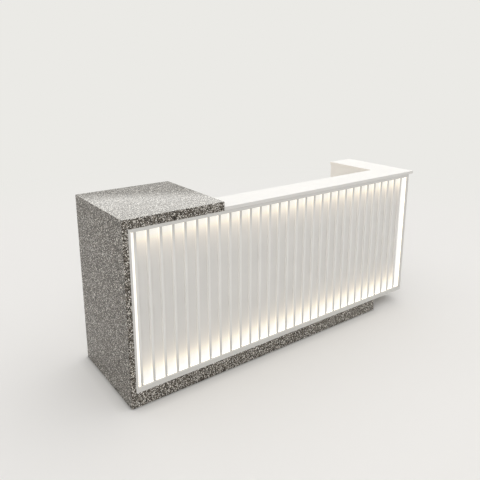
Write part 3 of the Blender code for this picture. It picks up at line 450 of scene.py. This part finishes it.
def face_grain(tree, where):
    """Drawn-out grain, along X on the end walls and along Y on the others."""
    across = add(tree, "ShaderNodeMapping", {"Vector": where["Object"], "Scale": (GRAIN_STRETCH, 1.0, 1.0)})
    along = add(tree, "ShaderNodeMapping", {"Vector": where["Object"], "Scale": (1.0, GRAIN_STRETCH, 1.0)})
    end_wall = calculate(tree, "ABSOLUTE", split(tree, where["Normal"])["Y"])
    place = mix(tree, end_wall, along["Vector"], across["Vector"], "VECTOR")
    return add(tree, "ShaderNodeTexNoise", {"Vector": place, "Scale": 1 / (GRAIN_MM * MM), "Detail": 5.0,
                                            "Roughness": 0.6, "Distortion": 0.4})["Fac"]


def birch_plywood(name, box_node):
    """Birch ply for one drawer box: face grain along each wall, and veneer stripes on the rim."""
    material, tree, shader, where = start_finish(name, {"IOR": 1.5})
    low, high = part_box(box_node)
    place = split(tree, where["Object"])
    grain = face_grain(tree, where)
    depth = DEEPEST
    for letter, edge, way in (("X", low.x, 1.0), ("X", high.x, -1.0), ("Y", low.y, 1.0), ("Y", high.y, -1.0)):
        inward = calculate(tree, "MULTIPLY", calculate(tree, "SUBTRACT", place[letter], edge), way)
        depth = calculate(tree, "MINIMUM", inward, depth)
    layer = calculate(tree, "FRACT", calculate(tree, "DIVIDE", depth, 2 * PLY_MM * MM))
    rim = calculate(tree, "GREATER_THAN", place["Z"], high.z - RIM_SLACK_MM * MM)
    colour = mix(tree, rim, ramp(tree, grain, FACE_TONES), ramp(tree, layer, VENEER_TONES), "RGBA")
    feed(tree, shader, {"Base Color": colour})
    give_relief(tree, shader, grain, roughness=(0.42, 0.58), strength=0.25, depth_mm=0.05)
    return material


upper_birch = birch_plywood("upper_birch_plywood", "upper_drawer_box")
lower_birch = birch_plywood("lower_birch_plywood", "lower_drawer_box")
print("plywood nodes:", len(upper_birch.node_tree.nodes))

# %% [markdown]
# ## Plastic and LEDs
# The grommet is moulded plastic, with the grain that spark erosion leaves in a mould. The LED strips are
# white circuit tape with a yellow phosphor dot every few millimetres. They hide behind their covers, but
# a library part may be taken apart.

# %% Moulded plastic and the LED strips
MOULD_GRAIN_MM = 0.7
PLASTIC_TONES = [(0.3, "#6d6e70"), (0.7, "#7b7c7e")]
LED_PITCH_MM = 8.3
LED_SHARE = 0.42
LED_TONES = [(0.0, "#f1d873"), (LED_SHARE, "#f2f1ea")]


def moulded_plastic():
    """Grey ABS with the fine grain of a spark-eroded mould, drawn coarser than life so that it shows."""
    material, tree, shader, where = start_finish("moulded_grey_plastic", {"IOR": 1.54})
    grain = noise(tree, where["Object"], MOULD_GRAIN_MM)["Fac"]
    feed(tree, shader, {"Base Color": ramp(tree, grain, PLASTIC_TONES)})
    give_relief(tree, shader, grain, roughness=(0.40, 0.58), strength=0.3, depth_mm=0.05)
    return material


def led_strip():
    """A white circuit strip with a yellow LED every few millimetres, along X or along Z."""
    material, tree, shader, where = start_finish("led_circuit_strip", {"IOR": 1.5, "Roughness": 0.45})
    place = split(tree, where["Object"])
    run = calculate(tree, "ADD", place["X"], place["Z"])
    step = calculate(tree, "FRACT", calculate(tree, "DIVIDE", run, LED_PITCH_MM * MM))
    feed(tree, shader, {"Base Color": ramp(tree, step, LED_TONES, stepped=True)})
    return material


plastic = moulded_plastic()
leds = led_strip()
print("plastic and LEDs:", plastic.name, leds.name)

# %% [markdown]
# ## Dress the frame
# Each piece of the frame keeps its shape and takes a finish. The names say what the pieces are, so a
# short list of name starts and ends sorts all sixty, and the first rule that fits wins.

# %% Give each piece its finish
FINISH_RULES = [
    (("stone_", "plinth_"), (), terrazzo),
    (("counter_top",), (), solid_surface),
    (("return_inner_panel",), (), warm_lacquer),
    (("fluted_panel",), (), back_lit),
    # The deck takes the frame's greyer coat as painted shade on its front edge.
    (("frame_", "front_deck"), (), powder_coat_and_painted_shade),
    (("led_diffuser",), (), opal),
    (("led_strip",), (), leds),
    (("led_driver", "upper_hinge", "lower_hinge"), ("_runner",), zinc),
    (("cupboard_handle", "cupboard_lock"), (), upright_steel),
    ((), ("_drawer_handle",), level_steel),
    (("upper_drawer_box",), (), upper_birch),
    (("lower_drawer_box",), (), lower_birch),
    (("grommet",), (), plastic),
    (("tower_bottom", "tower_fixed", "tower_loose", "tower_outer"), ("_toe_kick",), melamine),
    (("",), (), lacquer),
]

counts = {}
for name, piece in desk_pieces.items():
    for starts, ends, material in FINISH_RULES:
        if name.startswith(starts) or name.endswith(ends):
            piece.data.materials.clear()
            piece.data.materials.append(material)
            counts[material.name] = counts.get(material.name, 0) + 1
            break
print("pieces per finish:", counts)

# %% [markdown]
# ## Screws
# Someone who opens the cupboard or a drawer sees how the desk is put together: countersunk screws in the
# hinge leaves, pan heads on the driver's ears, and pan heads that pull the handles and the drawer fronts
# tight. A head is turned like the real one, as a stack of rings, and its cross recess is a ring whose
# radius swings between the arms and the corners. All the heads of one job are one object, and it rides on
# the body that they hold.

# %% Screw heads
HEAD_SIDES = 24
ARM_REACH = 0.55
CORNER_REACH = 0.20
ARM_SHARPNESS = 6
RECESS_FLOOR = 0.25
RECESS_TAPER = 0.6
SMOOTH_ANGLE = math.radians(35)
# The rings of a head: their shares of its height and of its radius.
PAN_RINGS = [(0.00, 1.00), (0.45, 1.00), (0.80, 0.86), (1.00, 0.62)]
FLAT_RINGS = [(0.00, 1.00), (1.00, 0.94)]


def cross_reach(turn):
    """How far the cross recess reaches at an angle, as a share of the head's radius."""
    return CORNER_REACH + (ARM_REACH - CORNER_REACH) * abs(math.cos(2 * turn)) ** ARM_SHARPNESS


def add_head(heads, place, facing, radius_mm, height_mm, rings):
    """Add one screw head that stands on a place and faces along a direction."""
    turn_to = Vector(facing).to_track_quat("Z", "Y")
    turns = [2 * math.pi * side / HEAD_SIDES for side in range(HEAD_SIDES)]
    recess = [cross_reach(turn) for turn in turns]
    outlines = [(level, [share] * HEAD_SIDES) for level, share in rings]
    outlines.append((1.0, recess))
    outlines.append((RECESS_FLOOR, [RECESS_TAPER * reach for reach in recess]))
    loops = []
    for level, shares in outlines:
        loop = []
        for turn, share in zip(turns, shares):
            across = share * radius_mm * MM
            point = Vector((across * math.cos(turn), across * math.sin(turn), level * height_mm * MM))
            loop.append(heads.verts.new(Vector(place) + turn_to @ point))
        loops.append(loop)
    for lower, upper in zip(loops, loops[1:]):
        for side in range(HEAD_SIDES):
            after = (side + 1) % HEAD_SIDES
            heads.faces.new((lower[side], lower[after], upper[after], upper[side]))
    heads.faces.new(list(reversed(loops[0])))
    heads.faces.new(loops[-1])


def screw_set(name, body, places, facing, radius_mm, height_mm, rings):
    """All the screw heads of one job, as one object on one body."""
    heads = bmesh.new()
    for place in places:
        add_head(heads, place, facing, radius_mm, height_mm, rings)
    mesh = bpy.data.meshes.new(name)
    heads.to_mesh(mesh)
    heads.free()
    mesh.shade_smooth()
    mesh.set_sharp_from_angle(angle=SMOOTH_ANGLE)
    mesh.materials.append(zinc)
    screws = bpy.data.objects.new(name, mesh)
    bpy.context.scene.collection.objects.link(screws)
    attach(screws, body)
    print(name, len(places), "heads on", body)


# %% [markdown]
# The hinges' screws sit in the leaves, three in a row, and stand a tenth of a millimetre proud, because
# the leaves close to within a millimetre of each other. The pin's middle is the middle of that gap, so it
# gives both faces.

# %% Hinge screws
LEAF_SCREW_SHARES = (0.16, 0.5, 0.84)
LEAF_SCREW_RADIUS_MM = 3.2
LEAF_SCREW_HEIGHT_MM = 0.1
LEAF_GAP_MM = 0.6

door_inner_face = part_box("cupboard_door")[0].y
door_outer_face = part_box("cupboard_door")[1].y

for level in ("upper", "lower"):
    leaf_low, leaf_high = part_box(f"{level}_hinge_frame_leaf")
    pin_low, pin_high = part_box(f"{level}_hinge_pin")
    pin_middle = (pin_low.x + pin_high.x) / 2
    leaf_middle = (leaf_low.y + door_outer_face) / 2
    heights = [leaf_low.z + share * (leaf_high.z - leaf_low.z) for share in LEAF_SCREW_SHARES]
    for leaf, body, side in (("frame", "desk", 1), ("door", "cupboard_door", -1)):
        leaf_face = pin_middle - side * LEAF_GAP_MM / 2 * MM
        places = [(leaf_face, leaf_middle, height) for height in heights]
        screw_set(f"{level}_hinge_{leaf}_screws", body, places, (side, 0, 0), LEAF_SCREW_RADIUS_MM,
                  LEAF_SCREW_HEIGHT_MM, FLAT_RINGS)

# %% [markdown]
# The other screws are plain pan heads on the surface that they clamp. Those of the driver stand on its
# ears. A handle's screws come through the door or the drawer's front, one behind each post, and four more
# hold each drawer's front to its box.

# %% Pan-head screws
PAN_RADIUS_MM = 4.4
PAN_HEIGHT_MM = 2.4
EAR_MIDDLE_MM = 9.0
EAR_PLATE_MM = 3.0
EAR_SCREW_SPACING_MM = 30.0
POST_MIDDLE_MM = 4.0
BOX_WALL_MM = 12.0
BOX_SCREW_INSET_MM = 70.0
BOX_SCREW_SHARES = (0.35, 0.75)


def inset(low, high, distance_mm):
    """Two places at one distance inside the ends of a span."""
    return low + distance_mm * MM, high - distance_mm * MM


driver_low, driver_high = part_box("led_driver")
driver_middle = (driver_low.z + driver_high.z) / 2
ear_places = [
    (x, driver_low.y + EAR_PLATE_MM * MM, driver_middle + way * EAR_SCREW_SPACING_MM / 2 * MM)
    for x in inset(driver_low.x, driver_high.x, EAR_MIDDLE_MM)
    for way in (-1, 1)
]
screw_set("driver_screws", "desk", ear_places, (0, 1, 0), PAN_RADIUS_MM, PAN_HEIGHT_MM, PAN_RINGS)

handle_low, handle_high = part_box("cupboard_handle")
post_x = (handle_low.x + handle_high.x) / 2
post_places = [(post_x, door_inner_face, z) for z in inset(handle_low.z, handle_high.z, POST_MIDDLE_MM)]
screw_set("cupboard_handle_screws", "cupboard_door", post_places, (0, -1, 0), PAN_RADIUS_MM, PAN_HEIGHT_MM,
          PAN_RINGS)

for level in ("upper", "lower"):
    body = f"{level}_drawer"
    handle_low, handle_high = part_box(f"{level}_drawer_handle")
    front_inner_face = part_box(f"{level}_drawer_front")[0].y
    post_z = (handle_low.z + handle_high.z) / 2
    places = [(x, front_inner_face, post_z) for x in inset(handle_low.x, handle_high.x, POST_MIDDLE_MM)]
    box_low, box_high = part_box(f"{level}_drawer_box")
    wall_face = box_high.y - BOX_WALL_MM * MM
    for x in inset(box_low.x, box_high.x, BOX_SCREW_INSET_MM):
        for share in BOX_SCREW_SHARES:
            places.append((x, wall_face, box_low.z + share * (box_high.z - box_low.z)))
    screw_set(f"{body}_screws", body, places, (0, -1, 0), PAN_RADIUS_MM, PAN_HEIGHT_MM, PAN_RINGS)

# %% [markdown]
# ## The studio
# The desk stands on a plain pale floor under soft light. A sky that is equally bright all round gives the
# level, so that a colour renders about as it is written. A broad light from the left models the fins, and
# one from above lifts the counter over the fronts. Soft light leaves almost no line where the desk meets
# the floor, so a contact shadow is painted into the floor's colour: it is a little darker where something
# close by shuts it in. Far from the desk it fades into the background, so no horizon shows from any side.

# %% Floor
BACKGROUND = "#ebeae6"
FLOOR_TONE = "#e9e7e4"
FLOOR_ROUGHNESS = 0.9
FLOOR_SHEEN = 0.1
FLOOR_RADIUS = 40.0
FLOOR_SIDES = 96
FADE = (2.6, 6.0)
# A painted contact shadow: how far it looks for something close by, in mm, and how dark it is at a wall.
PAINTED_CONTACT_SHADOWS = [(85.0, 0.20), (20.0, 0.36)]
AT_A_WALL = 0.5


def floor_finish():
    """A pale matt floor with painted contact shadows, whose far part is the background's own colour."""
    material, tree, shader, where = start_finish("pale_floor", {"Roughness": FLOOR_ROUGHNESS,
                                                                "Specular IOR Level": FLOOR_SHEEN})
    tone = linear(FLOOR_TONE)[:3]
    # Painted contact shadow in the floor's colour, darker where something close by shuts it in.
    for reach_mm, darkness in PAINTED_CONTACT_SHADOWS:
        openness = add(tree, "ShaderNodeAmbientOcclusion", {"Distance": reach_mm * MM})
        level = remap(tree, openness["AO"], inputs=(AT_A_WALL, 1.0), outputs=(1.0 - darkness, 1.0))
        tone = scale(tree, tone, level)
    feed(tree, shader, {"Base Color": tone})
    distance = add(tree, "ShaderNodeVectorMath", {0: where["Object"]}, operation="LENGTH")
    fade = remap(tree, distance["Value"], inputs=FADE, interpolation_type="SMOOTHSTEP")
    path = add(tree, "ShaderNodeLightPath")
    seen = calculate(tree, "MAXIMUM", path["Is Camera Ray"], path["Is Glossy Ray"])
    plain = add(tree, "ShaderNodeEmission", {"Color": linear(BACKGROUND)})
    far = calculate(tree, "MULTIPLY", fade, seen)
    mixed = add(tree, "ShaderNodeMixShader", {0: far, 1: shader.outputs["BSDF"], 2: plain["Emission"]})
    feed(tree, tree.nodes["Material Output"], {"Surface": mixed[0]})
    return material


def pale_floor():
    """A disc under the desk."""
    mesh = bpy.data.meshes.new("studio_floor")
    disc = bmesh.new()
    bmesh.ops.create_circle(disc, cap_ends=True, radius=FLOOR_RADIUS, segments=FLOOR_SIDES)
    disc.to_mesh(mesh)
    disc.free()
    mesh.materials.append(floor_finish())
    floor = bpy.data.objects.new("studio_floor", mesh)
    bpy.context.scene.collection.objects.link(floor)
    return floor


studio_floor = pale_floor()
print("floor:", studio_floor.name)

# %% [markdown]
# The sky lights every side alike. What shiny pieces mirror is a room, and its wall behind the desk is
# brighter above a low skyline than below it, while the other sides are even. That step draws the pale
# sheen, and its darker strip along the back, on the polished slab.

# %% Sky
SKY_STRENGTH = 0.50
SKYLINE_DEGREES = (13.55, 14.35)
# The mirrored wall behind the desk below and above the skyline, as a multiple of the background.
WALL_LEVELS = (1.08, 2.80)
BACK_WALL = (0.0, 0.3)


def plain_sky():
    """Even light from all round, seen as the pale background, with a brighter wall to mirror at the back."""
    world = bpy.data.worlds.new("plain_sky")
    world.use_nodes = True
    bpy.context.scene.world = world
    tree = world.node_tree
    light = tree.nodes["Background"]
    light.inputs["Color"].default_value = linear("#ffffff")
    light.inputs["Strength"].default_value = SKY_STRENGTH
    axis = split(tree, add(tree, "ShaderNodeTexCoord")["Generated"])
    skyline = [math.sin(math.radians(angle)) for angle in SKYLINE_DEGREES]
    above = remap(tree, axis["Z"], inputs=skyline)
    wall_below, wall_above = [remap(tree, axis["Y"], BACK_WALL, (1.0, level)) for level in WALL_LEVELS]
    path = add(tree, "ShaderNodeLightPath")
    level = mix(tree, path["Is Glossy Ray"], 1.0, mix(tree, above, wall_below, wall_above))
    backdrop = add(tree, "ShaderNodeBackground", {"Color": linear(BACKGROUND), "Strength": level})
    seen = calculate(tree, "MAXIMUM", path["Is Camera Ray"], path["Is Glossy Ray"])
    shown = calculate(tree, "MAXIMUM", seen, path["Is Transmission Ray"])
    mixed = add(tree, "ShaderNodeMixShader", {0: shown, 1: light.outputs["Background"],
                                              2: backdrop["Background"]})
    feed(tree, tree.nodes["World Output"], {"Surface": mixed[0]})


plain_sky()
print("sky strength:", SKY_STRENGTH)

# %% Soft lights
# A light: its name, the direction that it comes from, its width in degrees and its strength.
SOFT_LIGHTS = [
    ("left_soft_light", (-0.55, -0.68, 0.50), 60.0, 0.46),
    ("overhead_soft_light", (0.0, 0.0, 1.0), 100.0, 1.42),
]


def soft_light(name, source, width_degrees, strength):
    """A broad far lamp that shines from a direction, so that it lights the whole floor evenly."""
    lamp = bpy.data.lights.new(name, "SUN")
    lamp.angle = math.radians(width_degrees)
    lamp.energy = strength
    holder = bpy.data.objects.new(name, lamp)
    holder.rotation_euler = Vector(source).to_track_quat("Z", "Y").to_euler()
    bpy.context.scene.collection.objects.link(holder)


for settings in SOFT_LIGHTS:
    soft_light(*settings)
print("soft lights:", [settings[0] for settings in SOFT_LIGHTS])

# %% [markdown]
# ## The camera
# The desk's own corners and edges fix the camera: with the tower taken as 1.10 m high, one place, one
# direction and one lens put them where the photograph has them. The picture was framed a little below the
# lens axis, which is a small vertical shift.

# %% Camera
CAMERA_PLACE = (-2.2080, -2.7042, 1.8652)
CAMERA_TURN_DEGREES = 36.42
CAMERA_DIP_DEGREES = 14.00
LENS_MM = 38.74
SENSOR_MM = 36.0
FRAME_SHIFT = -0.0970

lens = bpy.data.cameras.new("camera")
lens.sensor_width = SENSOR_MM
lens.lens = LENS_MM
lens.shift_y = FRAME_SHIFT
camera = bpy.data.objects.new("camera", lens)
camera.location = CAMERA_PLACE
camera.rotation_euler = (math.radians(90 - CAMERA_DIP_DEGREES), 0.0, math.radians(-CAMERA_TURN_DEGREES))
bpy.context.scene.collection.objects.link(camera)
bpy.context.scene.camera = camera
bpy.context.scene.view_settings.view_transform = "Standard"
print("camera:", [round(value, 2) for value in camera.location])
